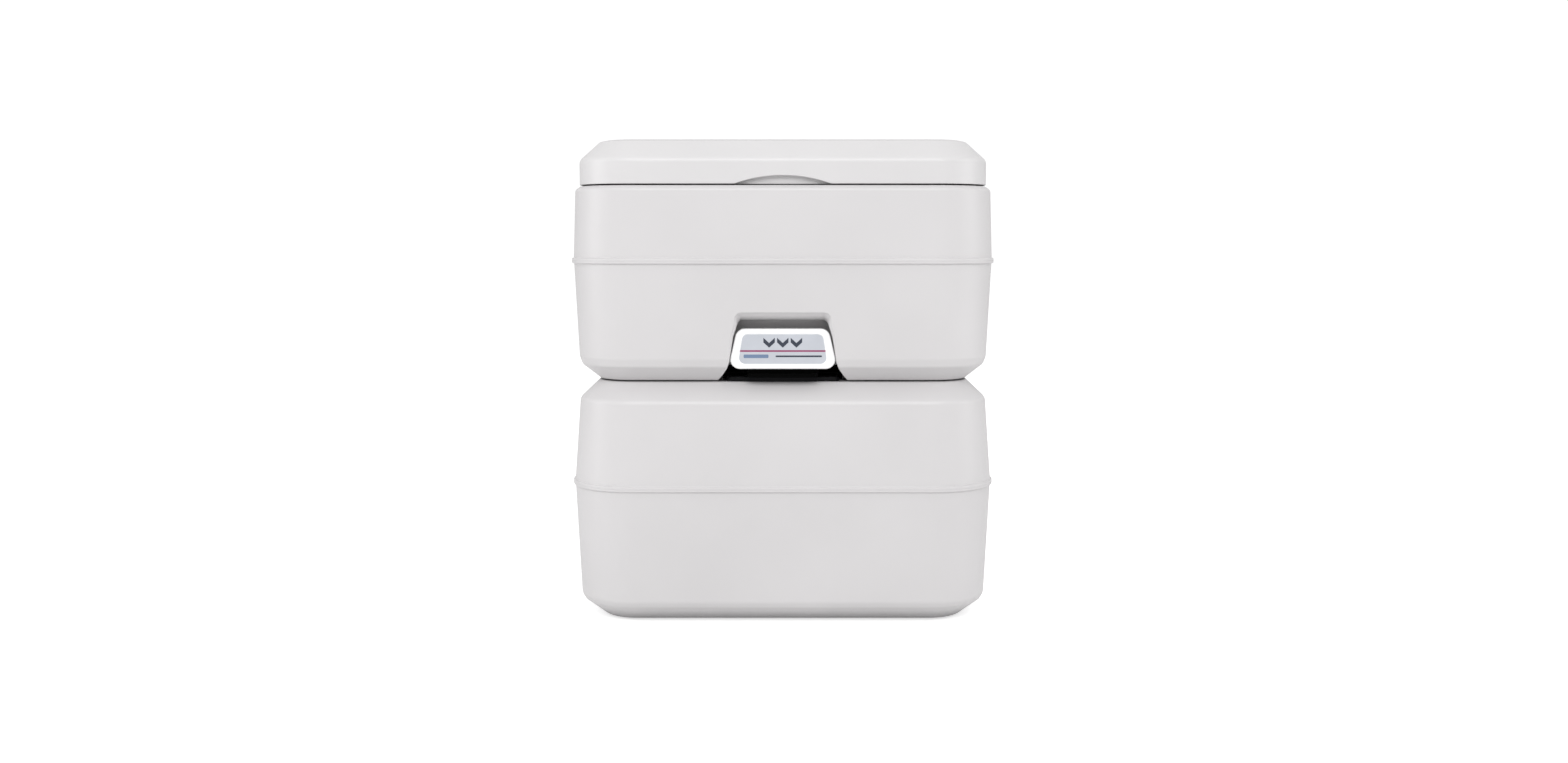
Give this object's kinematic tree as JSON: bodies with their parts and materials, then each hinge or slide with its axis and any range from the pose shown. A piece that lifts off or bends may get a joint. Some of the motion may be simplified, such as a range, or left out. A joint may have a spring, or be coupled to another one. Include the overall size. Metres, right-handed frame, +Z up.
{
  "type": "portable camp toilet",
  "caption": "Box-shaped portable camp toilet: flush water tank with bowl, hinged seat and lid, on a detachable waste tank with a front pull valve.",
  "frame": {"origin": "centre of the waste tank's base, on the floor", "axes": "+X to the user's right seen from the front, +Y to the rear hinge side, +Z up"},
  "size_m": [0.368, 0.4254, 0.4142],
  "materials": {
    "white_shell": "satin moulded plastic with a fine grain",
    "white_gloss": "smooth moulded plastic",
    "label": "printed film label",
    "dark_plastic": "dark grey moulded plastic",
    "grey_plastic": "mid grey moulded plastic",
    "seal_rubber": "soft black rubber",
    "steel": "stainless steel"
  },
  "bodies": {
    "waste_tank": {"waste_tank_lower": "white_shell", "waste_tank_upper": "white_shell", "valve_base": "dark_plastic", "valve_seal": "seal_rubber", "valve_cover": "dark_plastic", "valve_screws": "steel", "spout_collar": "grey_plastic", "spout_ring_seal": "seal_rubber", "vent_body": "grey_plastic", "vent_spring": "steel", "carry_handle_pins": "steel", "latch_catch": "steel"},
    "flush_tank": {"flush_tank_lower": "white_shell", "flush_tank_upper": "white_shell", "bowl": "white_gloss", "bowl_seal": "seal_rubber", "rim_nozzle": "grey_plastic", "flush_hose": "seal_rubber", "pump_well": "grey_plastic", "pump_valve_block": "dark_plastic", "pickup_tube": "white_gloss", "water_strainer": "dark_plastic", "pump_bellows": "seal_rubber", "hinge_pin": "steel", "latch_pin": "steel"},
    "seat": {"seat": "white_shell", "seat_bumpers": "seal_rubber"},
    "lid": {"lid": "white_shell", "lid_bumpers": "seal_rubber"},
    "valve": {"valve_blade": "dark_plastic", "pull_handle": "white_gloss", "handle_label": "label"},
    "pump": {"pump_knob": "grey_plastic"},
    "filler_cap": {"fill_cap": "grey_plastic", "fill_cap_gasket": "seal_rubber"},
    "spout": {"pour_spout": "grey_plastic"},
    "spout_cap": {"spout_cap": "grey_plastic", "spout_cap_gasket": "seal_rubber"},
    "vent": {"vent_button": "white_gloss", "vent_seal": "seal_rubber"},
    "grip": {"carry_handle": "grey_plastic"},
    "latch": {"latch_lever": "grey_plastic", "latch_hook": "steel"}
  },
  "joints": [
    {"name": "flush_tank_lift", "type": "slide", "parent": "waste_tank", "child": "flush_tank", "axis": [0, 0, 1], "range_m": [0, 0.15]},
    {"name": "seat_hinge", "type": "hinge", "parent": "flush_tank", "child": "seat", "pos_m": [0, 0.196, 0.383], "axis": [-1, 0, 0], "range_deg": [0, 92]},
    {"name": "lid_hinge", "type": "hinge", "parent": "seat", "child": "lid", "pos_m": [0, 0.196, 0.383], "axis": [-1, 0, 0], "range_deg": [0, 92]},
    {"name": "valve_slide", "type": "slide", "parent": "waste_tank", "child": "valve", "axis": [0, -1, 0], "range_m": [0, 0.112]},
    {"name": "pump_stroke", "type": "slide", "parent": "flush_tank", "child": "pump", "axis": [0, 0, -1], "range_m": [0, 0.024], "stiffness_N_per_m": 400, "springref_m": -0.002, "deforming": ["pump_bellows"]},
    {"name": "fill_cap_turn", "type": "hinge", "parent": "flush_tank", "child": "filler_cap", "pos_m": [-0.115, 0.136, 0.389], "axis": [0, 0, 1], "range_deg": [0, 90]},
    {"name": "spout_swivel", "type": "hinge", "parent": "waste_tank", "child": "spout", "pos_m": [-0.132, 0.162, 0.141], "axis": [0, 0, 1], "range_deg": [0, 90]},
    {"name": "spout_cap_turn", "type": "hinge", "parent": "spout", "child": "spout_cap", "pos_m": [-0.04, 0.162, 0.173], "axis": [1, 0, 0], "range_deg": [0, 180]},
    {"name": "vent_press", "type": "slide", "parent": "waste_tank", "child": "vent", "axis": [0, 0, -1], "range_m": [0, 0.003], "stiffness_N_per_m": 600, "springref_m": -0.001, "deforming": ["vent_spring"]},
    {"name": "carry_handle_swing", "type": "hinge", "parent": "waste_tank", "child": "grip", "pos_m": [0.092, 0.187, 0.187], "axis": [1, 0, 0], "range_deg": [0, 90]},
    {"name": "latch_turn", "type": "hinge", "parent": "flush_tank", "child": "latch", "pos_m": [0, 0.2, 0.249], "axis": [1, 0, 0], "range_deg": [-8, 72]}
  ]
}
